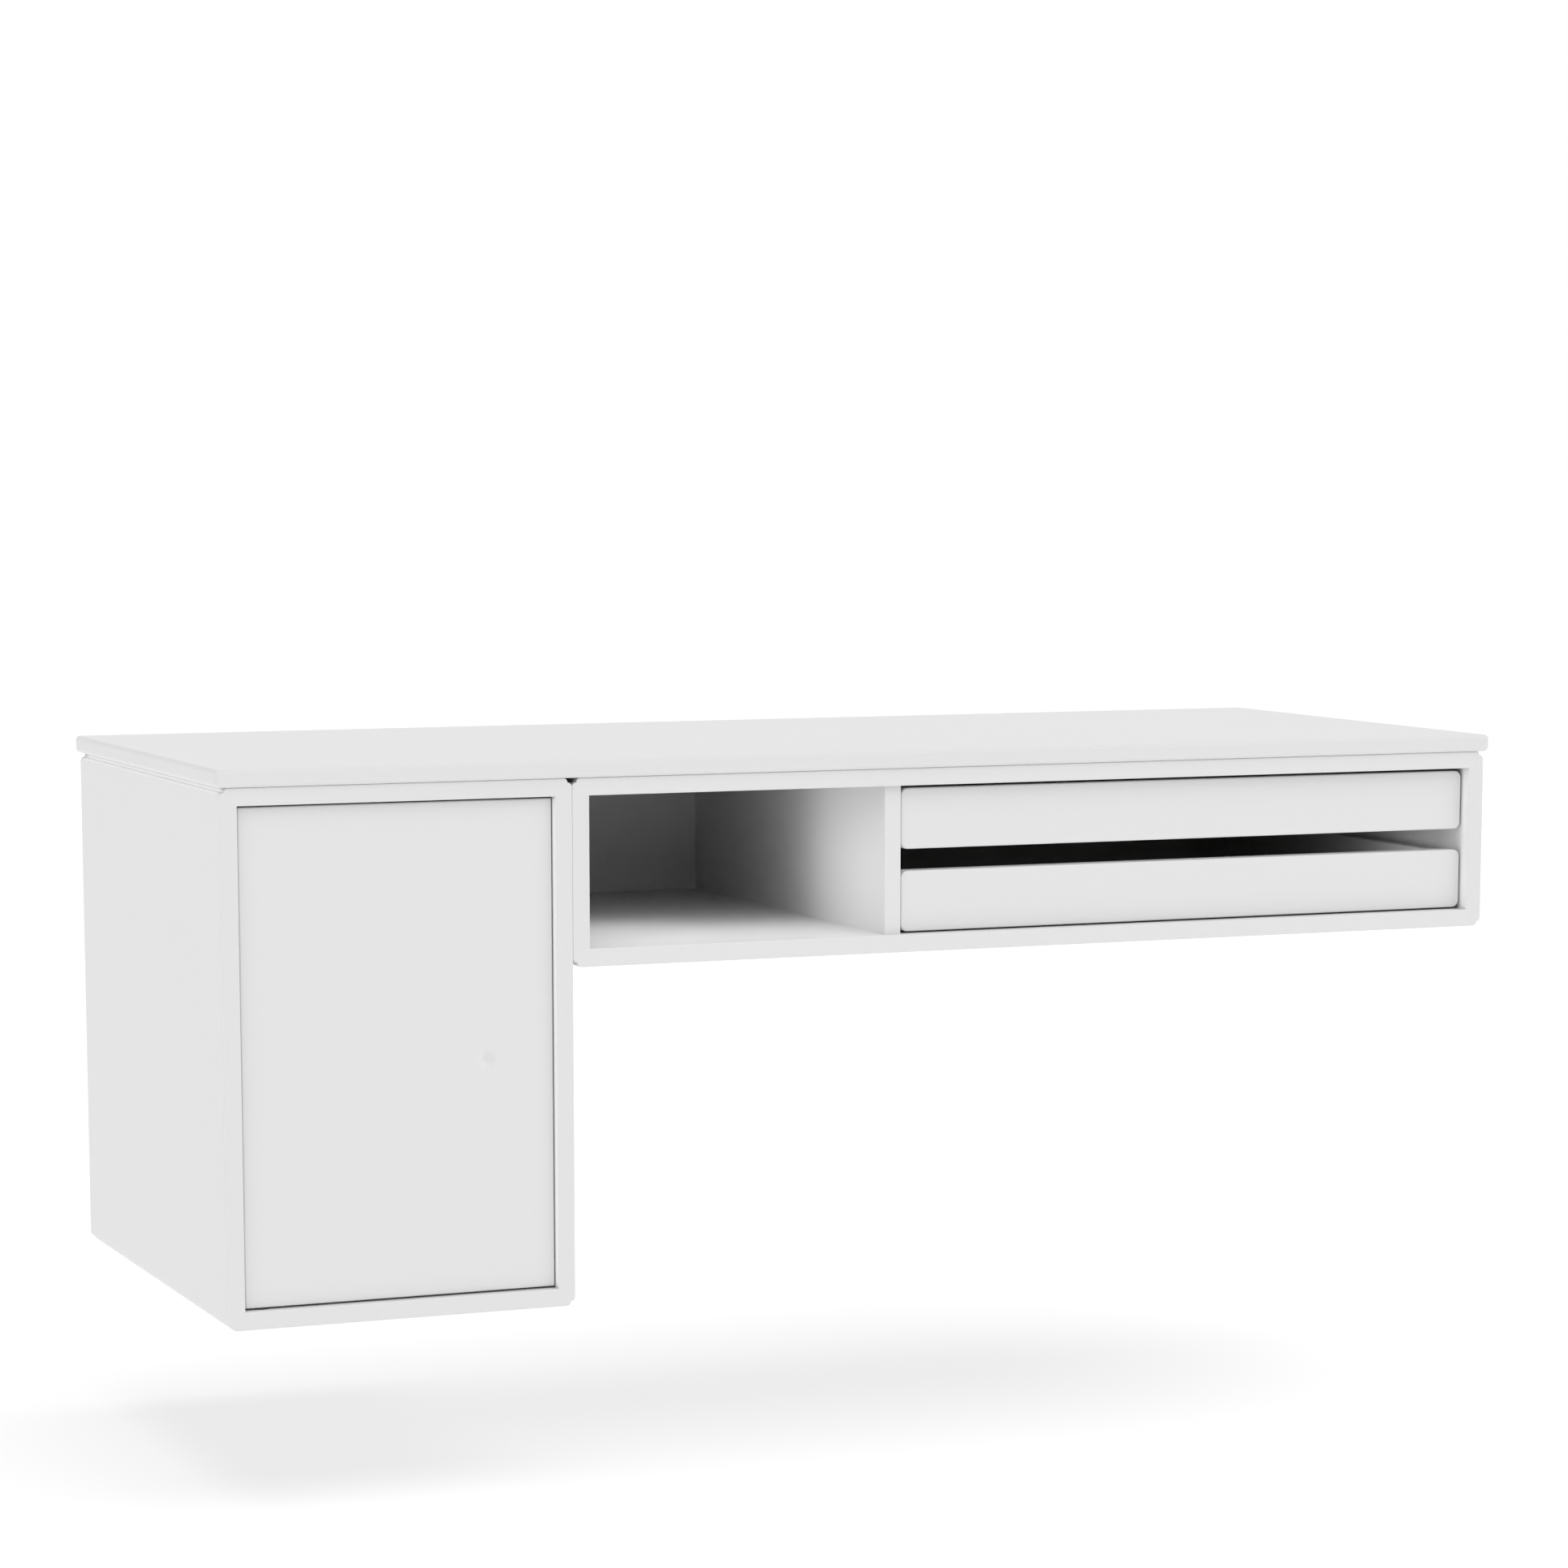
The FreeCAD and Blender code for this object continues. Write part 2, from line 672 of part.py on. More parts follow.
def build():
    """Every piece of the desk under its own name."""
    cabinet = carcass(cabinet_left, cabinet_width, cabinet_low, cabinet_height)
    unit = carcass(unit_left, unit_width, unit_low, unit_height)
    pieces = {"cabinet_" + name: piece for name, piece in cabinet.items()}
    pieces.update({"unit_" + name: piece for name, piece in unit.items()})
    pieces["unit_divider"] = divider()
    pieces["divider_dowels"] = Part.makeCompound(divider_dowels())
    pieces["tabletop"] = tabletop()

    rail_ends = {
        "cabinet": (cabinet_left + panel + rail_end_room, unit_left - panel - rail_end_room),
        "unit": (unit_left + panel + rail_end_room, unit_right - panel - rail_end_room),
    }
    hole_counts = {"cabinet": cabinet_rail_hole_count, "unit": unit_rail_hole_count}
    counts = {"cabinet": cabinet_strip_screw_count, "unit": unit_strip_screw_count}
    seats = {name: strip_screws(*ends, counts[name]) for name, ends in rail_ends.items()}
    for name, ends in rail_ends.items():
        holes = spread(ends[0] + rail_hole_inset, ends[1] - rail_hole_inset, hole_counts[name])
        pieces[name + "_wall_rail"] = wall_rail(*ends, holes)
        pieces[name + "_hanging_strip"] = hanging_strip(*ends, seats[name])
        strip_holes = [strip_screw_hole(seat) for seat in seats[name]]
        pieces[name + "_back"] = pieces[name + "_back"].cut(strip_holes)
    all_seats = [seat for group in seats.values() for seat in group]
    pieces["hanging_strip_screws"] = Part.makeCompound([strip_screw(seat) for seat in all_seats])

    top_seats = top_screw_seats()
    top_length = top_screw_length()
    top_holes = [
        screw_hole(seat, ALONG_Z, top_length, counterbore=top_screw_counterbore) for seat in top_seats
    ]
    top_screws = [pan_screw(seat, ALONG_Z, top_length) for seat in top_seats]
    pieces["tabletop_screws"] = Part.makeCompound(top_screws)
    joints = joining_places()
    joint_holes = [joining_hole(*place) for place in joints]
    pieces["joining_bolts"] = Part.makeCompound([joining_bolt(*place) for place in joints])
    pieces["joining_nuts"] = Part.makeCompound([joining_nut(*place) for place in joints])

    pieces["upper_hinge_pin"] = hinge_pin(door_high, ALONG_Z, door_top_gap)
    pieces["lower_hinge_pin"] = hinge_pin(door_low, -ALONG_Z, door_bottom_gap)
    pieces["upper_hinge_bush"] = hinge_bush(top_z - panel, ALONG_Z, upper_flange)
    pieces["lower_hinge_bush"] = hinge_bush(cabinet_low + panel, -ALONG_Z, door_bottom_gap)
    pieces["strike_plate"] = strike_plate()
    pieces["latch_housing"] = latch_housing()
    pieces["latch_plunger"] = latch_plunger()
    pieces["latch_magnet"] = latch_magnet()
    latch_seats = latch_screw_seats()
    latch_length = latch_screw_length()
    latch_screws = [pan_screw(seat, ALONG_X, latch_length) for seat in latch_seats]
    pieces["latch_screws"] = Part.makeCompound(latch_screws)
    pin_hole = hinge_pin_radius + dowel_room
    pin_depth = hinge_pin_seat + dowel_room
    pin_holes = [
        rod(pin_hole, (pivot_x, pivot_y, door_high), -ALONG_Z, pin_depth),
        rod(pin_hole, (pivot_x, pivot_y, door_low), ALONG_Z, pin_depth),
    ]
    pieces["cabinet_door"] = door().cut(pin_holes + [dimple(), strike_plate(dowel_room)])

    runner_holes = []
    runner_screws = []
    for level, drawer_z in (("upper", upper_drawer_z), ("lower", lower_drawer_z)):
        for name, piece in drawer(drawer_z).items():
            pieces[f"{level}_drawer_{name}"] = piece
        for side, (face_x, inward) in runner_sides().items():
            direction = ALONG_X * -inward
            length = runner_screw_length()
            screw_seats = runner_screw_seats(face_x, inward, drawer_z)
            depth = runner_counterbore
            holes = [screw_hole(seat, direction, length, counterbore=depth) for seat in screw_seats]
            pieces[f"{level}_{side}_runner"] = runner(face_x, inward, drawer_z).cut(holes)
            runner_screws += [pan_screw(seat, direction, length) for seat in screw_seats]
            runner_holes += [screw_hole(seat, direction, length) for seat in screw_seats]
    pieces["runner_screws"] = Part.makeCompound(runner_screws)
    pieces["drawer_buffers"] = drawer_buffers()

    dowel_holes = divider_dowels(dowel_room)
    latch_holes = [screw_hole(seat, ALONG_X, latch_length) for seat in latch_seats]
    cuts = {
        "tabletop": top_holes,
        "cabinet_top": top_holes + [bush_hole(top_z - panel, ALONG_Z)],
        "cabinet_bottom": [bush_hole(cabinet_low + panel, -ALONG_Z)],
        "cabinet_right_side": joint_holes + latch_holes,
        "unit_left_side": joint_holes,
        "unit_top": top_holes + dowel_holes,
        "unit_bottom": dowel_holes,
        "unit_divider": dowel_holes + runner_holes,
        "unit_right_side": runner_holes,
    }
    for name, holes in cuts.items():
        pieces[name] = pieces[name].cut(holes)
    return pieces


os.makedirs("parts", exist_ok=True)
for piece_name, piece_shape in build().items():
    piece_shape.exportStep(f"parts/{piece_name}.step")
    print(f"{piece_name}: {len(piece_shape.Solids)} solids, {piece_shape.Volume / 1000:.2f} cm3")
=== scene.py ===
"""Looks of a wall-hung desk: finishes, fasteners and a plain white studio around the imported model.

Metres. The origin is on the wall, in the middle of the low unit's rail holes: +X right, +Y into
the wall, +Z up.
"""

import logging
import math
from dataclasses import dataclass
from enum import Enum
from typing import Dict, List, Optional, Sequence, Tuple, Union

import bmesh
import bpy
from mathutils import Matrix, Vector


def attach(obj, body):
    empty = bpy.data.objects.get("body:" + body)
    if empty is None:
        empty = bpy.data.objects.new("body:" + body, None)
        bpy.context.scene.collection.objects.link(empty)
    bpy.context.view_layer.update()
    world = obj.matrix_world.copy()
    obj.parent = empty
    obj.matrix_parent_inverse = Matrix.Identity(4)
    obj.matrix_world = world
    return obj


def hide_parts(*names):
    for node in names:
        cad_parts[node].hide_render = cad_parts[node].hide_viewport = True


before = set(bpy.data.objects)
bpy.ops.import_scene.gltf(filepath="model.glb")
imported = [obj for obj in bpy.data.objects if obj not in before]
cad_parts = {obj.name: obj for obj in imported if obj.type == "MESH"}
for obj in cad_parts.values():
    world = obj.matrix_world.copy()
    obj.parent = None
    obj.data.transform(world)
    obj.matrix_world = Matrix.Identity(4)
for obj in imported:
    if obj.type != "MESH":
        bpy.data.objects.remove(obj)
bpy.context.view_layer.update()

LOG = logging.getLogger("wall_desk")

Color = Tuple[float, float, float]
Point = Tuple[float, float, float]
Profile = List[Tuple[float, float]]
SocketValue = Union[float, Sequence[float], bpy.types.NodeSocket]
Inputs = Dict[Union[str, int], SocketValue]
Skin = Tuple[bpy.types.NodeSocket, bpy.types.NodeSocket]

SHARP_ANGLE = math.radians(32.0)
QUARTER_TURN = math.radians(90.0)
SAME_PLACE = 1e-6
WHITE = (1.0, 1.0, 1.0, 1.0)
RIGHT, LEFT = (1.0, 0.0, 0.0), (-1.0, 0.0, 0.0)
UP, DOWN = (0.0, 0.0, 1.0), (0.0, 0.0, -1.0)
FORWARD = (0.0, -1.0, 0.0)


class Slot(str, Enum):
    """Material slots of the record."""

    TABLETOP = "tabletop_lacquer"
    CARCASS = "carcass_lacquer"
    DOOR = "door_lacquer"
    DRAWER = "drawer_lacquer"
    BEECH = "beech"
    RUNNER = "runner_nylon"
    NYLON = "white_nylon"
    BLACK_NYLON = "black_nylon"
    RUBBER = "buffer_rubber"
    ZINC = "zinc_plated_steel"
    NICKEL = "nickel_plated_steel"


class Body(str, Enum):
    """Bodies that new pieces ride on."""

    CARCASS = "carcass"


class Drive(Enum):
    """Recess in a fastener's head, by its number of wings or corners."""

    CROSS = 4
    HEXAGON = 6


class Shank(Enum):
    """What follows below a fastener's head."""

    WOOD_THREAD = "wood thread"
    MACHINE_THREAD = "machine thread"
    SLEEVE = "sleeve"


class Reach(str, Enum):
    """Whether a lamp lights the floor alone or everything but the floor."""

    FLOOR = "INCLUDE"
    DESK = "EXCLUDE"


# ---------------------------------------------------------------- node trees


class NodeSheet:
    """Nodes and links of one material, world or node group."""

    def __init__(self, tree: bpy.types.NodeTree) -> None:
        """Start with an empty tree."""
        self.tree = tree
        tree.nodes.clear()

    def add(
        self,
        kind: str,
        inputs: Optional[Inputs] = None,
        **settings: Union[str, bpy.types.NodeTree],
    ) -> bpy.types.Node:
        """Add one node.

        Args:
            kind: Node type.
            inputs: Values for its sockets, or other nodes' sockets to link to them.
            settings: Properties of the node.

        Returns:
            The new node.
        """
        node = self.tree.nodes.new(kind)
        for name, value in settings.items():
            setattr(node, name, value)
        for key, value in (inputs or {}).items():
            if isinstance(value, bpy.types.NodeSocket):
                self.tree.links.new(value, node.inputs[key])
            else:
                node.inputs[key].default_value = value
        return node

    def math(self, operation: str, *values: SocketValue) -> bpy.types.NodeSocket:
        """Result of a math node on these values."""
        return self.add("ShaderNodeMath", dict(enumerate(values)), operation=operation).outputs[0]

    def waves(self, size: SocketValue) -> bpy.types.NodeSocket:
        """Waves per metre of a pattern whose waves have this size."""
        return self.math("DIVIDE", 1.0, size)

    def noise(
        self, place: SocketValue, waves: SocketValue, detail: float, roughness: float = 0.5
    ) -> bpy.types.NodeSocket:
        """Grey value of a noise, with its finer octaves and their weight."""
        values = {"Vector": place, "Scale": waves, "Detail": detail, "Roughness": roughness}
        return self.add("ShaderNodeTexNoise", values).outputs[0]

    def cells(self, place: SocketValue, waves: SocketValue) -> bpy.types.Node:
        """Pattern of irregular cells."""
        return self.add("ShaderNodeTexVoronoi", {"Vector": place, "Scale": waves})

    def blend(
        self, first: SocketValue, second: SocketValue, share: float
    ) -> bpy.types.NodeSocket:
        """Mix of two grey values, with this share of the first."""
        rest = self.math("MULTIPLY", second, 1.0 - share)
        return self.math("MULTIPLY_ADD", first, share, rest)

    def spread(
        self, value: SocketValue, middle: SocketValue, spread: SocketValue
    ) -> bpy.types.NodeSocket:
        """Figure around a middle, which a mid grey gives: black and white lie a spread away."""
        offset = self.math("MULTIPLY", self.math("SUBTRACT", value, 0.5), 2.0)
        return self.math("MULTIPLY_ADD", offset, spread, middle)

    def stretch(self, place: SocketValue, factors: SocketValue) -> bpy.types.NodeSocket:
        """Place scaled along each axis."""
        values = {0: place, 1: factors}
        return self.add("ShaderNodeVectorMath", values, operation="MULTIPLY").outputs[0]

    def shade(self, color: SocketValue, factor: SocketValue) -> bpy.types.NodeSocket:
        """Colour multiplied by a factor."""
        values = {0: color, "Scale": factor}
        return self.add("ShaderNodeVectorMath", values, operation="SCALE").outputs[0]


class Effect:
    """Node group that finishes share."""

    def __init__(self, name: str, inputs: Dict[str, str], outputs: Dict[str, str]) -> None:
        """Make the group and its sockets.

        Args:
            name: Name of the group.
            inputs: Names and kinds of its inputs.
            outputs: Names and kinds of its outputs.
        """
        self.tree = bpy.data.node_groups.new(name, "ShaderNodeTree")
        self.sheet = NodeSheet(self.tree)
        for side, sockets in (("INPUT", inputs), ("OUTPUT", outputs)):
            for label, kind in sockets.items():
                socket_type = "NodeSocket" + kind
                self.tree.interface.new_socket(name=label, in_out=side, socket_type=socket_type)
        self.start = self.sheet.add("NodeGroupInput")
        self.end = self.sheet.add("NodeGroupOutput")

    def given(self, label: str) -> bpy.types.NodeSocket:
        """Value that comes in under a label."""
        return self.start.outputs[label]

    def give(self, label: str, value: bpy.types.NodeSocket) -> None:
        """Send a value out under a label."""
        self.tree.links.new(value, self.end.inputs[label])

    def use(self, sheet: NodeSheet, inputs: Inputs) -> bpy.types.Node:
        """Node of the group among a material's nodes."""
        return sheet.add("ShaderNodeGroup", inputs, node_tree=self.tree)


class Effects:
    """The shared effects, made once."""

    def __init__(self) -> None:
        """Make every effect."""
        self.tone_drift = self.make_tone_drift()
        self.sheen_drift = self.make_sheen_drift()
        self.sprayed_skin = self.make_sprayed_skin()
        self.moulded_skin = self.make_moulded_skin()
        self.beech_grain = self.make_beech_grain()
        self.plated_skin = self.make_plated_skin()

    def make_tone_drift(self) -> Effect:
        """Slow drift of a colour over a board, with a finer one on top.

        Returns:
            The effect.
        """
        fine_ratio, fine_share = 60.0, 0.35
        inputs = {"Vector": "Vector", "Color": "Color", "Patch": "Float", "Spread": "Float"}
        effect = Effect("tone_drift", inputs, {"Color": "Color"})
        sheet, place = effect.sheet, effect.given("Vector")
        waves = sheet.waves(effect.given("Patch"))
        slow = sheet.noise(place, waves, detail=1.0)
        fine = sheet.noise(place, sheet.math("MULTIPLY", waves, fine_ratio), detail=2.0)
        mixed = sheet.blend(fine, slow, fine_share)
        factor = sheet.spread(mixed, 1.0, effect.given("Spread"))
        effect.give("Color", sheet.shade(effect.given("Color"), factor))
        return effect

    def make_sheen_drift(self) -> Effect:
        """Drift of a roughness over a surface.

        Returns:
            The effect.
        """
        inputs = {"Vector": "Vector", "Middle": "Float", "Patch": "Float", "Spread": "Float"}
        effect = Effect("sheen_drift", inputs, {"Roughness": "Float"})
        sheet, place = effect.sheet, effect.given("Vector")
        waves = sheet.waves(effect.given("Patch"))
        drift = sheet.noise(place, waves, detail=4.0, roughness=0.55)
        roughness = sheet.spread(drift, effect.given("Middle"), effect.given("Spread"))
        effect.give("Roughness", roughness)
        return effect

    def make_sprayed_skin(self) -> Effect:
        """Fine orange peel of a sprayed lacquer, over the softer waves of the board.

        Returns:
            The effect.
        """
        swell_ratio, swell_share = 0.16, 0.5
        inputs = {"Vector": "Vector", "Dimple": "Float"}
        effect = Effect("sprayed_skin", inputs, {"Height": "Float"})
        sheet, place = effect.sheet, effect.given("Vector")
        waves = sheet.waves(effect.given("Dimple"))
        peel = sheet.noise(place, waves, detail=1.5, roughness=0.4)
        swell = sheet.noise(place, sheet.math("MULTIPLY", waves, swell_ratio), detail=1.0)
        effect.give("Height", sheet.blend(swell, peel, swell_share))
        return effect

    def make_moulded_skin(self) -> Effect:
        """Fine spark-eroded grain of a moulded piece.

        Returns:
            The effect.
        """
        dust_ratio, dust_share = 2.0, 0.4
        inputs = {"Vector": "Vector", "Grain": "Float"}
        effect = Effect("moulded_skin", inputs, {"Height": "Float"})
        sheet, place = effect.sheet, effect.given("Vector")
        waves = sheet.waves(effect.given("Grain"))
        pits = sheet.cells(place, waves).outputs["Distance"]
        dust = sheet.noise(place, sheet.math("MULTIPLY", waves, dust_ratio), detail=2.0)
        effect.give("Height", sheet.blend(dust, pits, dust_share))
        return effect

    def make_beech_grain(self) -> Effect:
        """Long fibres of beech with its short dark flecks.

        Returns:
            The effect.
        """
        fibre_waves, fibre_spread = 900.0, 0.16
        fleck_waves, fleck_tone, fleck_spread = 520.0, 0.93, 0.07
        fleck_edge, fleck_softness, fleck_share = 4.0, 0.1, 0.5
        inputs = {"Vector": "Vector", "Color": "Color", "Along": "Vector"}
        effect = Effect("beech_grain", inputs, {"Color": "Color", "Height": "Float"})
        sheet = effect.sheet
        run = sheet.stretch(effect.given("Vector"), effect.given("Along"))
        fibre = sheet.noise(run, fibre_waves, detail=4.0, roughness=0.6)
        cells = sheet.cells(run, fleck_waves).outputs["Distance"]
        edge = sheet.math("MULTIPLY", cells, fleck_edge)
        fleck = sheet.math("SMOOTH_MIN", edge, 1.0, fleck_softness)
        fibre_factor = sheet.spread(fibre, 1.0, fibre_spread)
        fleck_factor = sheet.spread(fleck, fleck_tone, fleck_spread)
        factor = sheet.math("MULTIPLY", fibre_factor, fleck_factor)
        effect.give("Color", sheet.shade(effect.given("Color"), factor))
        effect.give("Height", sheet.blend(fleck, fibre, fleck_share))
        return effect

    def make_plated_skin(self) -> Effect:
        """Drawing lines and crystal patches of a plated steel surface.

        Returns:
            The effect.
        """
        line_waves, patch_share = 1500.0, 0.5
        inputs = {"Vector": "Vector", "Color": "Color", "Along": "Vector"}
        inputs.update({"Crystal": "Float", "Contrast": "Float"})
        effect = Effect("plated_skin", inputs, {"Color": "Color", "Height": "Float"})
        sheet, place = effect.sheet, effect.given("Vector")
        run = sheet.stretch(place, effect.given("Along"))
        lines = sheet.noise(run, line_waves, detail=3.0, roughness=0.6)
        cells = sheet.cells(place, sheet.waves(effect.given("Crystal"))).outputs["Color"]
        patch = sheet.add("ShaderNodeSeparateColor", {0: cells}).outputs[0]
        mixed = sheet.blend(patch, lines, patch_share)
        factor = sheet.spread(mixed, 1.0, effect.given("Contrast"))
        effect.give("Color", sheet.shade(effect.given("Color"), factor))
        effect.give("Height", lines)
        return effect


# ---------------------------------------------------------------- finishes


@dataclass(frozen=True)
class Finish:
    """Base of the finishes: a Principled shader with a drifting sheen and a bump."""

    slot: Slot
    color: Color
    roughness: float
    roughness_spread: float
    sheen_patch: float
    relief: float
    specular: float = 0.5
    metallic: float = 0.0

    def paint(self) -> Tuple[float, float, float, float]:
        """Colour with its alpha."""
        return (*self.color, 1.0)

    def skin(self, sheet: NodeSheet, place: bpy.types.NodeSocket, effects: Effects) -> Skin:
        """Colour and height of the surface, which each finish makes its own way."""
        raise NotImplementedError

    def material(self, effects: Effects) -> bpy.types.Material:
        """Make the material.

        Args:
            effects: The shared effects.

        Returns:
            The material.
        """
        material = bpy.data.materials.new(self.slot.value)
        material.use_nodes = True
        sheet = NodeSheet(material.node_tree)
        place = sheet.add("ShaderNodeTexCoord").outputs["Object"]
        color, height = self.skin(sheet, place, effects)
        sheen = {
            "Vector": place,
            "Middle": self.roughness,
            "Patch": self.sheen_patch,
            "Spread": self.roughness_spread,
        }
        bump = {"Height": height, "Strength": 1.0, "Distance": self.relief}
        values = {
            "Base Color": color,
            "Roughness": effects.sheen_drift.use(sheet, sheen).outputs["Roughness"],
            "Normal": sheet.add("ShaderNodeBump", bump).outputs[0],
            "Specular IOR Level": self.specular,
            "Metallic": self.metallic,
        }
        shader = sheet.add("ShaderNodeBsdfPrincipled", values)
        sheet.add("ShaderNodeOutputMaterial", {"Surface": shader.outputs[0]})
        return material


@dataclass(frozen=True)
class Lacquer(Finish):
    """Satin white lacquer, sprayed on fibreboard."""

    roughness: float = 0.46
    roughness_spread: float = 0.05
    sheen_patch: float = 0.05
    relief: float = 0.000012
    specular: float = 0.30
    tone_patch: float = 0.30
    tone_spread: float = 0.008
    dimple: float = 0.0016

    def skin(self, sheet: NodeSheet, place: bpy.types.NodeSocket, effects: Effects) -> Skin:
        """Drifting white under a sprayed skin.

        Args:
            sheet: The material's nodes.
            place: Place on the object.
            effects: The shared effects.

        Returns:
            Colour and height of the surface.
        """
        tone = {"Vector": place, "Color": self.paint()}
        tone.update({"Patch": self.tone_patch, "Spread": self.tone_spread})
        drift = effects.tone_drift.use(sheet, tone)
        peel = effects.sprayed_skin.use(sheet, {"Vector": place, "Dimple": self.dimple})
        return drift.outputs["Color"], peel.outputs["Height"]


@dataclass(frozen=True)
class Moulding(Finish):
    """Moulded nylon or rubber."""

    roughness_spread: float = 0.06
    sheen_patch: float = 0.01
    relief: float = 0.00002
    specular: float = 0.4
    tone_patch: float = 0.04
    tone_spread: float = 0.03
    grain: float = 0.0007

    def skin(self, sheet: NodeSheet, place: bpy.types.NodeSocket, effects: Effects) -> Skin:
        """Drifting colour under a grained skin.

        Args:
            sheet: The material's nodes.
            place: Place on the object.
            effects: The shared effects.

        Returns:
            Colour and height of the surface.
        """
        tone = {"Vector": place, "Color": self.paint()}
        tone.update({"Patch": self.tone_patch, "Spread": self.tone_spread})
        drift = effects.tone_drift.use(sheet, tone)
        grain = effects.moulded_skin.use(sheet, {"Vector": place, "Grain": self.grain})
        return drift.outputs["Color"], grain.outputs["Height"]


@dataclass(frozen=True)
class Beech(Finish):
    """Plain beech of dowels and keys."""

    roughness: float = 0.62
    roughness_spread: float = 0.08
    sheen_patch: float = 0.004
    relief: float = 0.00005
    specular: float = 0.3
    along: Point = (1.0, 0.08, 1.0)

    def skin(self, sheet: NodeSheet, place: bpy.types.NodeSocket, effects: Effects) -> Skin:
        """Fibres and flecks.

        Args:
            sheet: The material's nodes.
            place: Place on the object.
            effects: The shared effects.

        Returns:
            Colour and height of the surface.
        """
        values = {"Vector": place, "Color": self.paint(), "Along": self.along}
        grain = effects.beech_grain.use(sheet, values)
        return grain.outputs["Color"], grain.outputs["Height"]


@dataclass(frozen=True)
class Plating(Finish):
    """Plated steel."""

    roughness_spread: float = 0.08
    sheen_patch: float = 0.006
    relief: float = 0.000006
    metallic: float = 1.0
    crystal: float = 0.0022
    contrast: float = 0.10
    along: Point = (0.06, 1.0, 1.0)

    def skin(self, sheet: NodeSheet, place: bpy.types.NodeSocket, effects: Effects) -> Skin:
        """Crystal patches and drawing lines.

        Args:
            sheet: The material's nodes.
            place: Place on the object.
            effects: The shared effects.

        Returns:
            Colour and height of the surface.
        """
        values = {"Vector": place, "Color": self.paint(), "Along": self.along}
        values.update({"Crystal": self.crystal, "Contrast": self.contrast})
        plate = effects.plated_skin.use(sheet, values)
        return plate.outputs["Color"], plate.outputs["Height"]


class Palette:
    """Materials of all slots."""

    FINISHES = (
        Lacquer(Slot.TABLETOP, (0.766, 0.766, 0.766)),
        Lacquer(Slot.CARCASS, (0.770, 0.770, 0.770)),
        Lacquer(Slot.DOOR, (0.768, 0.768, 0.768)),
        Lacquer(Slot.DRAWER, (0.772, 0.772, 0.772)),
        Beech(Slot.BEECH, (0.52, 0.34, 0.19)),
        Moulding(Slot.RUNNER, (0.72, 0.72, 0.70), roughness=0.38),
        Moulding(Slot.NYLON, (0.75, 0.75, 0.73), roughness=0.42),
        Moulding(Slot.BLACK_NYLON, (0.02, 0.02, 0.02), roughness=0.45),
        Moulding(
            Slot.RUBBER, (0.25, 0.25, 0.25),
            roughness=0.72, relief=0.00004, tone_spread=0.08, grain=0.0005,
        ),
        Plating(Slot.ZINC, (0.62, 0.63, 0.65), roughness=0.34),
        Plating(Slot.NICKEL, (0.70, 0.69, 0.66), roughness=0.24, crystal=0.0008, contrast=0.04),
    )

    def __init__(self) -> None:
        """Make all materials."""
        effects = Effects()
        self.materials = {finish.slot: finish.material(effects) for finish in self.FINISHES}

    def dress(self, slot: Slot, *nodes: str) -> None:
        """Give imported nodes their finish.

        Args:
            slot: Which finish.
            nodes: Names of the nodes.
        """
        for name in nodes:
            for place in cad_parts[name].material_slots:
                place.material = self.materials[slot]
            LOG.info("%s: %s", name, slot.value)


# ---------------------------------------------------------------- fasteners


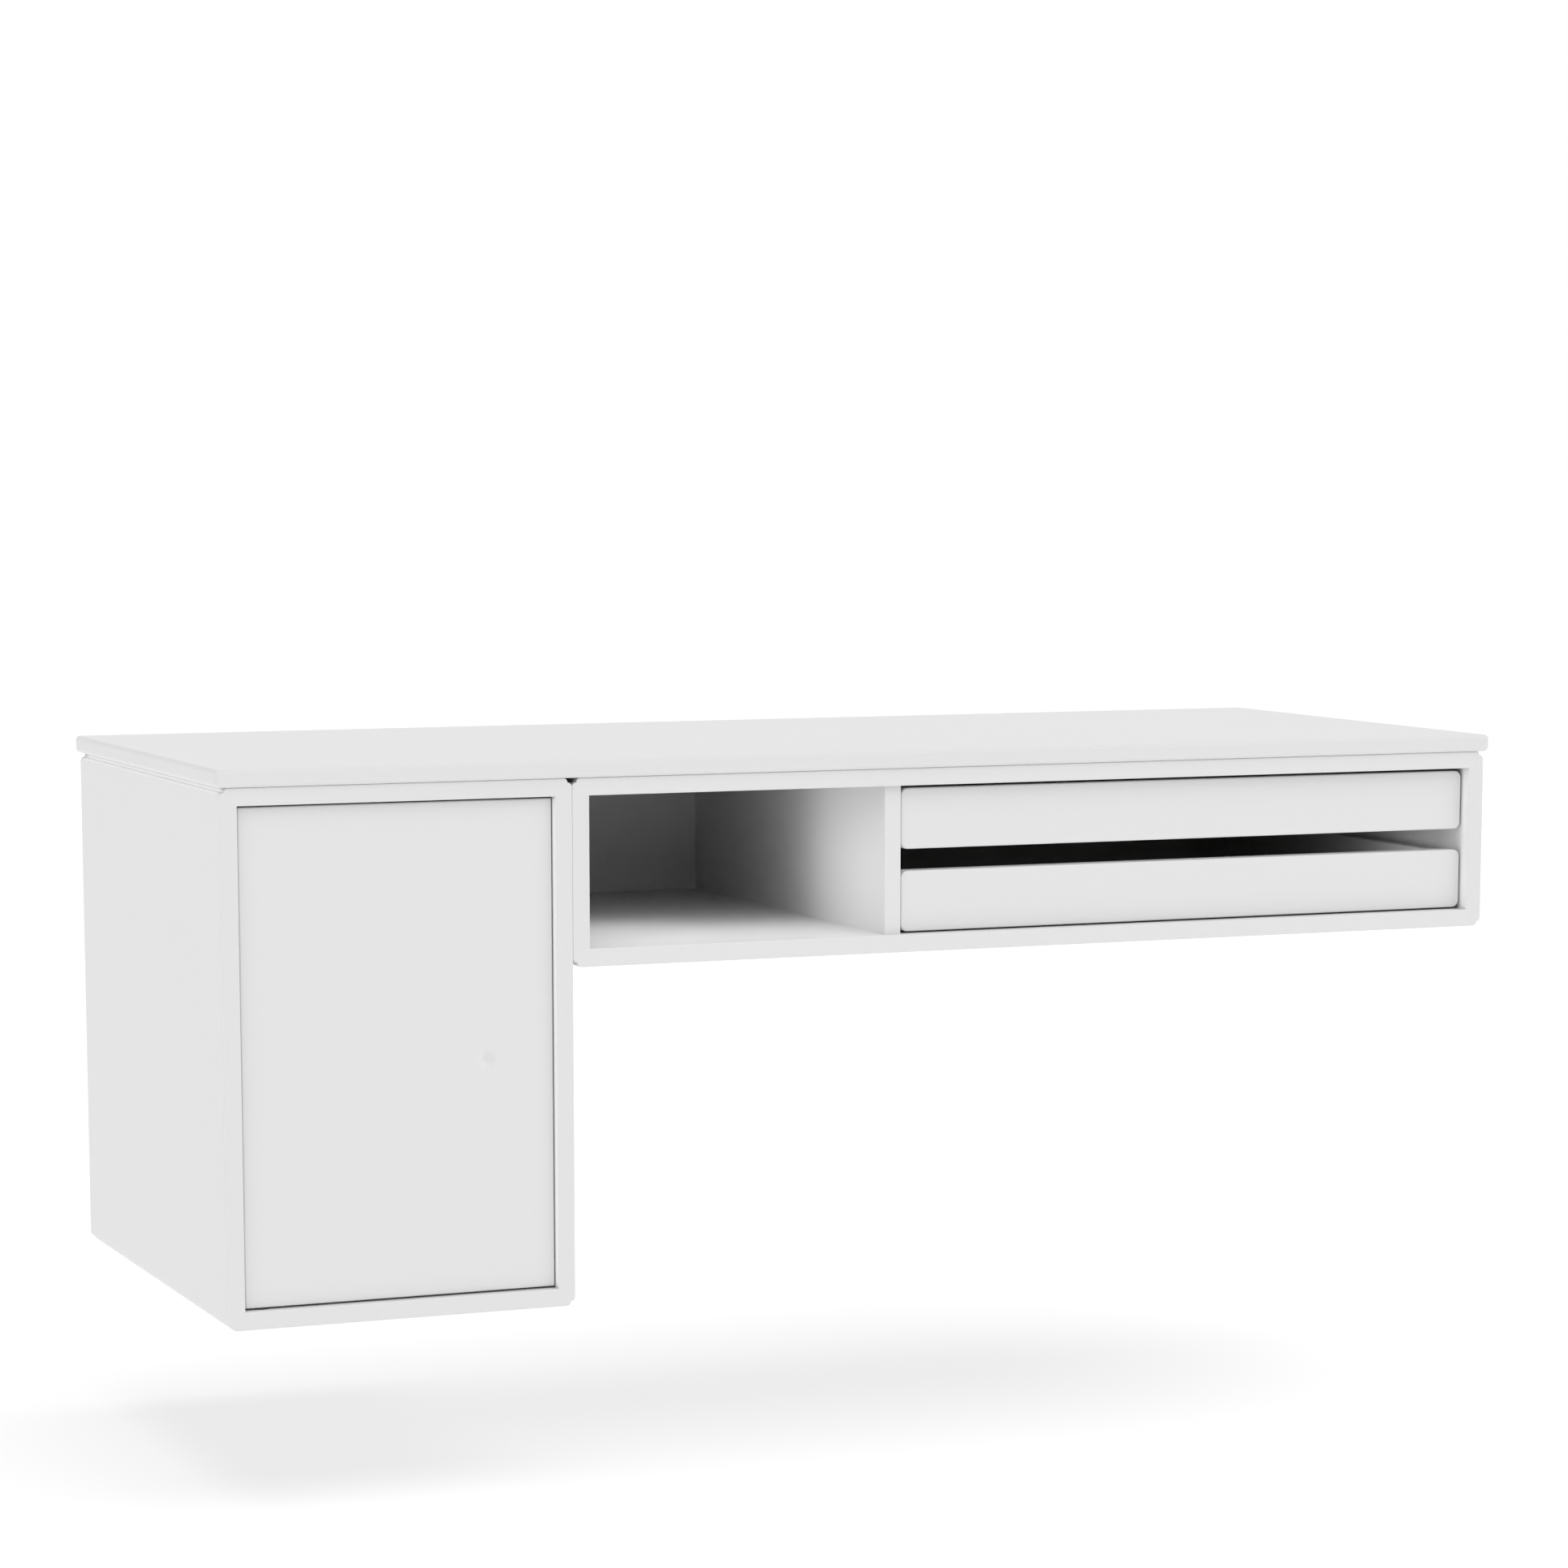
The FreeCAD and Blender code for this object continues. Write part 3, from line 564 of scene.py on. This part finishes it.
@dataclass(frozen=True)
class FastenerSet:
    """Screws, bolts or nuts of one node, with turned heads and a drive recess.

    The axis points from head to tip. The shares are of the head's radius and height, of the
    recess's reach or of the shank's radius.
    """

    node: str
    name: str
    axis: Point
    slot: Slot = Slot.ZINC
    head: float = 0.0016
    shank: float = 0.0015
    drive: Drive = Drive.CROSS
    below: Shank = Shank.WOOD_THREAD
    bore: float = 0.0
    pitch: float = 0.0011
    plain_turns: float = 2.0
    core_share: float = 0.70
    point_share: float = 0.15
    wood_tip_share: float = 1.6
    machine_tip_share: float = 0.4
    flat_share: float = 0.72
    rim_share: float = 0.6
    rim_steps: int = 6
    recess_share: float = 0.60
    recess_depth_share: float = 0.70
    cross_taper: float = 0.86
    wing_share: float = 0.24
    wing_tip_share: float = 0.8
    steps: int = 32

    def build(self, palette: Palette, body: Body) -> None:
        """Build the set in place of its node.

        Args:
            palette: The materials.
            body: Body that it rides on.
        """
        bm = bmesh.new()
        boxes = solids_of(self.node)
        for low, high in boxes:
            self.add_one(bm, low, high)
        piece = new_piece(self.name, bm, palette.materials[self.slot])
        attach(piece, body.value)
        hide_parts(self.node)
        LOG.info("%s: %d", self.name, len(boxes))

    def add_one(self, bm: bmesh.types.BMesh, low: Vector, high: Vector) -> None:
        """Add one fastener to a mesh.

        Args:
            bm: The mesh.
            low: Lowest corner of the fastener's box.
            high: Highest corner of the fastener's box.
        """
        axis = Vector(self.axis)
        middle, half = (low + high) / 2, (high - low) / 2
        reach = abs(half.dot(axis))
        radius = max(size for size, along in zip(half, axis) if not along)
        part = bmesh.new()
        self.turn(part, self.profile(radius, 2 * reach))
        self.sink_drive(part, radius)
        bmesh.ops.recalc_face_normals(part, faces=part.faces)
        turn = Vector(UP).rotation_difference(axis).to_matrix().to_4x4()
        bmesh.ops.transform(part, matrix=turn, verts=part.verts)
        bmesh.ops.translate(part, vec=middle - axis * reach, verts=part.verts)
        join(bm, part)

    def profile(self, radius: float, length: float) -> Profile:
        """Half outline from the rim of the head's flat to the tip.

        Args:
            radius: Radius of the head.
            length: Length of the fastener.

        Returns:
            Radii and heights.
        """
        flat = self.flat_share * radius
        outline = [(flat, 0.0)]
        for i in range(1, self.rim_steps + 1):
            turn = QUARTER_TURN * i / self.rim_steps
            drop = self.rim_share * self.head * (1 - math.cos(turn))
            outline.append((flat + (radius - flat) * math.sin(turn), drop))
        outline += [(radius, self.head), (self.shank, self.head)]
        if self.below is Shank.SLEEVE:
            outline += [(self.shank, length), (self.bore, length)]
            return outline + [(self.bore, self.head), (0.0, self.head)]
        wood = self.below is Shank.WOOD_THREAD
        tip = length - (self.wood_tip_share if wood else self.machine_tip_share) * self.shank
        core = self.core_share * self.shank
        z = self.head + self.plain_turns * self.pitch
        while z + self.pitch < tip:
            outline += [(core, z), (self.shank, z + self.pitch / 2)]
            z += self.pitch
        return outline + [(core, tip), (self.point_share * self.shank, length), (0.0, length)]

    def turn(self, part: bmesh.types.BMesh, outline: Profile) -> None:
        """Turn a half outline into a closed body, open at the head's flat.

        Args:
            part: Mesh to fill.
            outline: Radii and heights.
        """
        verts = [part.verts.new((radius, 0.0, z)) for radius, z in outline]
        edges = [part.edges.new(pair) for pair in zip(verts, verts[1:])]
        bmesh.ops.spin(
            part, geom=verts + edges, cent=(0, 0, 0), axis=UP,
            angle=math.tau, steps=self.steps, use_merge=True,
        )
        bmesh.ops.remove_doubles(part, verts=part.verts, dist=SAME_PLACE)

    def sink_drive(self, part: bmesh.types.BMesh, radius: float) -> None:
        """Close the head's flat around a sunk recess.

        Args:
            part: Mesh with an open flat at height 0.
            radius: Radius of the head.
        """
        rim = [edge for edge in part.edges if edge.is_boundary]
        verts = [part.verts.new((x, y, 0.0)) for x, y in self.recess(radius)]
        edges = [part.edges.new(pair) for pair in zip(verts, verts[1:] + verts[:1])]
        bmesh.ops.triangle_fill(part, use_beauty=True, edges=rim + edges, normal=DOWN)
        walls = bmesh.ops.extrude_edge_only(part, edges=edges)["geom"]
        floor = [item for item in walls if isinstance(item, bmesh.types.BMVert)]
        taper = self.cross_taper if self.drive is Drive.CROSS else 1.0
        depth = self.recess_depth_share * self.head
        bmesh.ops.scale(part, vec=(taper, taper, 1.0), verts=floor)
        bmesh.ops.translate(part, vec=(0, 0, depth), verts=floor)
        bottom = [e for e in walls if isinstance(e, bmesh.types.BMEdge) and e.is_boundary]
        bmesh.ops.triangle_fill(part, use_beauty=True, edges=bottom, normal=DOWN)

    def recess(self, radius: float) -> Profile:
        """Outline of the drive recess.

        Args:
            radius: Radius of the head.

        Returns:
            Its corners in order.
        """
        reach = self.recess_share * radius
        wing = self.wing_share * reach
        tip = self.wing_tip_share * wing
        cross_wing = ((wing, -wing), (reach, -tip), (reach, tip))
        pattern = cross_wing if self.drive is Drive.CROSS else ((reach, 0.0),)
        corners = []
        for i in range(self.drive.value):
            turn = math.tau * i / self.drive.value
            cosine, sine = math.cos(turn), math.sin(turn)
            corners += [(x * cosine - y * sine, x * sine + y * cosine) for x, y in pattern]
        return corners


@dataclass(frozen=True)
class JoiningSet(FastenerSet):
    """Bolts or nuts with a hexagon drive, which join the two carcasses."""

    slot: Slot = Slot.NICKEL
    head: float = 0.0015
    drive: Drive = Drive.HEXAGON
    flat_share: float = 0.86
    recess_share: float = 0.42


def solids_of(node: str) -> List[Tuple[Vector, Vector]]:
    """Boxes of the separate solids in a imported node.

    Args:
        node: Name of the node.

    Returns:
        Lowest and highest corner of each solid.
    """
    bm = bmesh.new()
    bm.from_mesh(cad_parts[node].data)
    bmesh.ops.remove_doubles(bm, verts=bm.verts, dist=SAME_PLACE)
    boxes, seen = [], set()
    for first in bm.verts:
        if first in seen:
            continue
        seen.add(first)
        group, queue = [first], [first]
        while queue:
            for edge in queue.pop().link_edges:
                for vert in edge.verts:
                    if vert not in seen:
                        seen.add(vert)
                        group.append(vert)
                        queue.append(vert)
        low = Vector(min(v.co[i] for v in group) for i in range(3))
        high = Vector(max(v.co[i] for v in group) for i in range(3))
        boxes.append((low, high))
    bm.free()
    return boxes


def join(bm: bmesh.types.BMesh, part: bmesh.types.BMesh) -> None:
    """Move one mesh into another.

    Args:
        bm: Mesh that takes it.
        part: Mesh that is used up.
    """
    carrier = bpy.data.meshes.new("carrier")
    part.to_mesh(carrier)
    part.free()
    bm.from_mesh(carrier)
    bpy.data.meshes.remove(carrier)


def new_piece(
    name: str, bm: bmesh.types.BMesh, material: bpy.types.Material
) -> bpy.types.Object:
    """Make an object from a mesh, smooth but for its sharp edges.

    Args:
        name: Name of the piece.
        bm: Its mesh, which is used up.
        material: Its material.

    Returns:
        The object, at the origin.
    """
    for face in bm.faces:
        face.smooth = True
    for edge in bm.edges:
        if len(edge.link_faces) == 2:
            edge.smooth = edge.calc_face_angle() < SHARP_ANGLE
    mesh = bpy.data.meshes.new(name)
    bm.to_mesh(mesh)
    bm.free()
    mesh.materials.append(material)
    piece = bpy.data.objects.new(name, mesh)
    bpy.context.scene.collection.objects.link(piece)
    return piece


# ---------------------------------------------------------------- the desk


@dataclass
class Tabletop:
    """Thin board over both carcasses."""

    board: str = "tabletop"
    screws: FastenerSet = FastenerSet("tabletop_screws", "tabletop_cross_screws", UP)

    def build(self, palette: Palette) -> None:
        """Build the screws that come up from the carcasses."""
        self.screws.build(palette, Body.CARCASS)

    def dress(self, palette: Palette) -> None:
        """Lacquer the board."""
        palette.dress(Slot.TABLETOP, self.board)


@dataclass
class Cabinet:
    """Tall carcass on the left, with the touch latch inside."""

    boards: Tuple[str, ...] = ("top", "bottom", "left_side", "right_side", "back")
    bolts: FastenerSet = JoiningSet(
        "joining_bolts", "joining_hexagon_bolts", RIGHT,
        shank=0.0024, below=Shank.MACHINE_THREAD, pitch=0.0008, core_share=0.82,
    )
    latch_screws: FastenerSet = FastenerSet("latch_screws", "latch_cross_screws", RIGHT)

    def build(self, palette: Palette) -> None:
        """Build the joining bolts and the latch's screws."""
        self.bolts.build(palette, Body.CARCASS)
        self.latch_screws.build(palette, Body.CARCASS)

    def dress(self, palette: Palette) -> None:
        """Finish the boards and fittings.

        Args:
            palette: The materials.
        """
        palette.dress(Slot.CARCASS, *("cabinet_" + board for board in self.boards))
        palette.dress(Slot.BEECH, "cabinet_corner_splines")
        palette.dress(Slot.BLACK_NYLON, "upper_hinge_bush", "lower_hinge_bush")
        palette.dress(Slot.NYLON, "latch_housing")


@dataclass
class Door:
    """Door of the cabinet, with what is set into it, and the latch's plunger behind it."""

    board: str = "cabinet_door"

    def dress(self, palette: Palette) -> None:
        """Finish the door, its pins and strike plate, and the plunger with its magnet.

        Args:
            palette: The materials.
        """
        palette.dress(Slot.DOOR, self.board)
        palette.dress(Slot.ZINC, "upper_hinge_pin", "lower_hinge_pin")
        palette.dress(Slot.NICKEL, "strike_plate", "latch_magnet")
        palette.dress(Slot.NYLON, "latch_plunger")


@dataclass
class LowUnit:
    """Long carcass with the open bay and the drawers' runners."""

    boards: Tuple[str, ...] = ("top", "bottom", "left_side", "right_side", "back", "divider")
    runners: Tuple[str, ...] = ("upper_left", "upper_right", "lower_left", "lower_right")
    nuts: FastenerSet = JoiningSet(
        "joining_nuts", "joining_hexagon_nuts", LEFT,
        shank=0.0035, below=Shank.SLEEVE, bore=0.0025,
    )

    def build(self, palette: Palette) -> None:
        """Build the sleeve nuts."""
        self.nuts.build(palette, Body.CARCASS)

    def dress(self, palette: Palette) -> None:
        """Finish the boards and fittings.

        Args:
            palette: The materials.
        """
        palette.dress(Slot.CARCASS, *("unit_" + board for board in self.boards))
        palette.dress(Slot.BEECH, "unit_corner_splines", "divider_dowels")
        palette.dress(Slot.RUNNER, *(side + "_runner" for side in self.runners))
        palette.dress(Slot.ZINC, "runner_screws")
        palette.dress(Slot.RUBBER, "drawer_buffers")


@dataclass
class Drawer:
    """Flat open tray."""

    name: str
    boards: Tuple[str, ...] = ("front", "left_side", "right_side", "back", "bottom")

    def dress(self, palette: Palette) -> None:
        """Finish the tray and its dowels."""
        palette.dress(Slot.DRAWER, *(f"{self.name}_{board}" for board in self.boards))
        palette.dress(Slot.BEECH, self.name + "_dowels")


@dataclass
class WallFixing:
    """Rails on the wall and the strips that hang on them."""

    plates: Tuple[str, ...] = (
        "cabinet_wall_rail", "unit_wall_rail", "cabinet_hanging_strip", "unit_hanging_strip",
    )
    screws: FastenerSet = FastenerSet(
        "hanging_strip_screws", "hanging_strip_cross_screws", FORWARD
    )

    def build(self, palette: Palette) -> None:
        """Build the strips' screws."""
        self.screws.build(palette, Body.CARCASS)

    def dress(self, palette: Palette) -> None:
        """Plate the rails and strips."""
        palette.dress(Slot.ZINC, *self.plates)


# ---------------------------------------------------------------- the studio


@dataclass(frozen=True)
class SkyLamp:
    """Soft lamp far away, with its angles and its spread in degrees."""

    name: str
    azimuth: float
    elevation: float
    share: float
    spread: float

    def hang(self) -> bpy.types.Object:
        """Hang the lamp.

        Returns:
            The lamp.
        """
        lamp = bpy.data.lights.new(self.name, "SUN")
        lamp.energy = math.pi * self.share
        lamp.angle = math.radians(self.spread)
        holder = bpy.data.objects.new(self.name, lamp)
        azimuth, elevation = math.radians(self.azimuth), math.radians(self.elevation)
        level = math.cos(elevation)
        across, ahead = level * math.sin(azimuth), level * math.cos(azimuth)
        towards = Vector((across, -ahead, math.sin(elevation)))
        holder.rotation_euler = towards.to_track_quat("Z", "Y").to_euler()
        bpy.context.scene.collection.objects.link(holder)
        return holder


@dataclass(frozen=True)
class FillLamp:
    """Flat soft lamp close to the desk, for the boards it names or else for all it faces."""

    name: str
    middle: Point
    facing: Point
    size: Tuple[float, float]
    share: float
    boards: Tuple[str, ...] = ()
    spread: float = 180.0

    def hang(self) -> None:
        """Hang the lamp, out of the camera's sight."""
        lamp = bpy.data.lights.new(self.name, "AREA")
        lamp.shape = "RECTANGLE"
        lamp.size, lamp.size_y = self.size
        lamp.spread = math.radians(self.spread)
        lamp.energy = math.pi * self.share * self.size[0] * self.size[1]
        holder = bpy.data.objects.new(self.name, lamp)
        holder.location = self.middle
        holder.rotation_euler = Vector(self.facing).to_track_quat("-Z", "Y").to_euler()
        holder.visible_camera = False
        holder.visible_glossy = False
        bpy.context.scene.collection.objects.link(holder)
        if self.boards:
            receivers = bpy.data.collections.new(self.name + "_receivers")
            for board in self.boards:
                receivers.objects.link(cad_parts[board])
            holder.light_linking.receiver_collection = receivers


@dataclass
class Studio:
    """White floor, soft light and the camera of the photograph's view."""

    floor_z: float = -0.405
    floor_half: float = 30.0
    floor_glow: float = 0.770
    floor_color: float = 0.08
    sky_below: float = 1.195
    sky_above: float = 0.838
    dusk: Tuple[float, float] = (-0.11, -0.03)
    dawn: Tuple[float, float] = (0.17, 0.36)
    desk_lamps: Tuple[SkyLamp, ...] = (
        SkyLamp("left_key_lamp", azimuth=-50.0, elevation=32.0, share=0.145, spread=50.0),
        SkyLamp("right_key_lamp", azimuth=50.0, elevation=32.0, share=0.240, spread=50.0),
        SkyLamp("side_lamp", azimuth=-105.0, elevation=-8.0, share=0.079, spread=30.0),
    )
    floor_lamp: SkyLamp = SkyLamp(
        "floor_lamp", azimuth=50.0, elevation=77.0, share=3.3, spread=63.0
    )
    fills: Tuple[FillLamp, ...] = (
        FillLamp(
            "bay_floor_left_fill", middle=(-0.282, -0.297, 0.006), facing=DOWN,
            size=(0.108, 0.150), share=0.76, boards=("unit_bottom",),
        ),
        FillLamp(
            "bay_floor_right_fill", middle=(-0.174, -0.316, 0.006), facing=DOWN,
            size=(0.108, 0.108), share=0.62, boards=("unit_bottom",),
        ),
        FillLamp(
            "bay_right_fill", middle=(-0.170, -0.308, 0.001), facing=RIGHT,
            size=(0.128, 0.092), share=0.70, boards=("unit_divider",),
        ),
        FillLamp(
            "bay_left_fill", middle=(-0.286, -0.308, 0.001), facing=LEFT,
            size=(0.128, 0.092), share=0.15, boards=("unit_left_side",),
        ),
        FillLamp(
            "slit_fill", middle=(0.250, -0.331, -0.009), facing=RIGHT,
            size=(0.042, 0.055), share=3.0, boards=("unit_right_side", "lower_drawer_right_side"),
        ),
        FillLamp(
            "left_edge_fill", middle=(-0.5906, -0.187, 0.0688), facing=(1.0, 0.0, -0.25),
            size=(0.360, 0.002), share=1.0, spread=90.0,
        ),
        FillLamp(
            "door_edge_fill", middle=(-0.3609, -0.3693, -0.107), facing=RIGHT,
            size=(0.0054, 0.326), share=0.34,
        ),
        FillLamp(
            "drawer_edge_fill", middle=(0.3345, -0.3678, 0.007), facing=RIGHT,
            size=(0.0084, 0.100), share=0.28,
        ),
    )
    diffuse_bounces: int = 2
    camera_place: Point = (-1.33699, -3.12682, 0.28187)
    camera_pitch: float = 7.975
    camera_yaw: float = 22.504
    camera_lens: float = 101.78
    camera_sensor: float = 36.0
    camera_shift: Tuple[float, float] = (-0.0009, 0.1854)
    camera_range: float = 100.0

    def build(self) -> None:
        """Build the whole studio."""
        scene = bpy.context.scene
        scene.view_settings.view_transform = "Standard"
        scene.cycles.diffuse_bounces = self.diffuse_bounces
        self.light_world(scene)
        floor = self.lay_floor()
        for lamp in self.desk_lamps:
            self.aim(lamp.hang(), floor, Reach.DESK)
        self.aim(self.floor_lamp.hang(), floor, Reach.FLOOR)
        for fill in self.fills:
            fill.hang()
        self.place_camera(scene)

    def light_world(self, scene: bpy.types.Scene) -> None:
        """Soft light from above and below, none at the horizon, before a white background.

        Args:
            scene: The scene.
        """
        world = bpy.data.worlds.new("studio_light")
        world.use_nodes = True
        sheet = NodeSheet(world.node_tree)
        rays = sheet.add("ShaderNodeLightPath").outputs
        seen = sheet.math("MAXIMUM", rays["Is Camera Ray"], rays["Is Glossy Ray"])
        seen = sheet.math("MAXIMUM", seen, rays["Is Transmission Ray"])
        towards = sheet.add("ShaderNodeTexCoord").outputs["Generated"]
        height = sheet.add("ShaderNodeSeparateXYZ", {0: towards}).outputs["Z"]
        lower = self.fade(sheet, height, self.dusk, self.sky_below, 0.0)
        upper = self.fade(sheet, height, self.dawn, 0.0, self.sky_above)
        strength = sheet.math("MAXIMUM", seen, sheet.math("ADD", lower, upper))
        light = sheet.add("ShaderNodeBackground", {"Color": WHITE, "Strength": strength})
        sheet.add("ShaderNodeOutputWorld", {"Surface": light.outputs[0]})
        scene.world = world

    def fade(
        self,
        sheet: NodeSheet,
        height: SocketValue,
        between: Tuple[float, float],
        start: float,
        end: float,
    ) -> bpy.types.NodeSocket:
        """Soft step from one strength to another, between two heights of a direction."""
        values = {"Value": height, 1: between[0], 2: between[1], 3: start, 4: end}
        return sheet.add("ShaderNodeMapRange", values, interpolation_type="SMOOTHSTEP").outputs[0]

    def lay_floor(self) -> bpy.types.Object:
        """White floor that shows only the desk's soft shadow.

        Returns:
            The floor.
        """
        bm = bmesh.new()
        bmesh.ops.create_grid(bm, x_segments=1, y_segments=1, size=self.floor_half)
        bmesh.ops.translate(bm, vec=(0, 0, self.floor_z), verts=bm.verts)
        material = bpy.data.materials.new("studio_floor")
        material.use_nodes = True
        sheet = NodeSheet(material.node_tree)
        grey = (self.floor_color, self.floor_color, self.floor_color, 1.0)
        matt = sheet.add("ShaderNodeBsdfDiffuse", {"Color": grey})
        glow = sheet.add("ShaderNodeEmission", {"Color": WHITE, "Strength": self.floor_glow})
        both = sheet.add("ShaderNodeAddShader", {0: matt.outputs[0], 1: glow.outputs[0]})
        sheet.add("ShaderNodeOutputMaterial", {"Surface": both.outputs[0]})
        material.cycles.emission_sampling = "NONE"
        floor = new_piece("studio_floor", bm, material)
        floor.visible_diffuse = False
        return floor

    def aim(self, lamp: bpy.types.Object, floor: bpy.types.Object, reach: Reach) -> None:
        """Let a lamp light the floor alone, or all but the floor, which then doesn't block it.

        Args:
            lamp: The lamp.
            floor: The floor.
            reach: What it lights.
        """
        receivers = bpy.data.collections.new(lamp.name + "_receivers")
        receivers.objects.link(floor)
        receivers.collection_objects[0].light_linking.link_state = reach.value
        lamp.light_linking.receiver_collection = receivers
        if reach is Reach.DESK:
            lamp.light_linking.blocker_collection = receivers

    def place_camera(self, scene: bpy.types.Scene) -> None:
        """Place the camera.

        Args:
            scene: The scene.
        """
        camera = bpy.data.cameras.new("camera")
        camera.sensor_width = self.camera_sensor
        camera.lens = self.camera_lens
        camera.shift_x, camera.shift_y = self.camera_shift
        camera.clip_end = self.camera_range
        holder = bpy.data.objects.new("camera", camera)
        holder.location = self.camera_place
        tilt = math.radians(90.0 - self.camera_pitch)
        holder.rotation_euler = (tilt, 0.0, math.radians(-self.camera_yaw))
        scene.collection.objects.link(holder)
        scene.camera = holder


def main() -> None:
    """Build and dress the desk, then build the studio."""
    logging.basicConfig(level=logging.INFO, format="%(name)s: %(message)s")
    palette = Palette()
    fixed = [Tabletop(), Cabinet(), LowUnit(), WallFixing()]
    moving = [Door(), Drawer("upper_drawer"), Drawer("lower_drawer")]
    for assembly in fixed:
        assembly.build(palette)
    for assembly in fixed + moving:
        assembly.dress(palette)
    Studio().build()


if __name__ == "__main__":
    main()
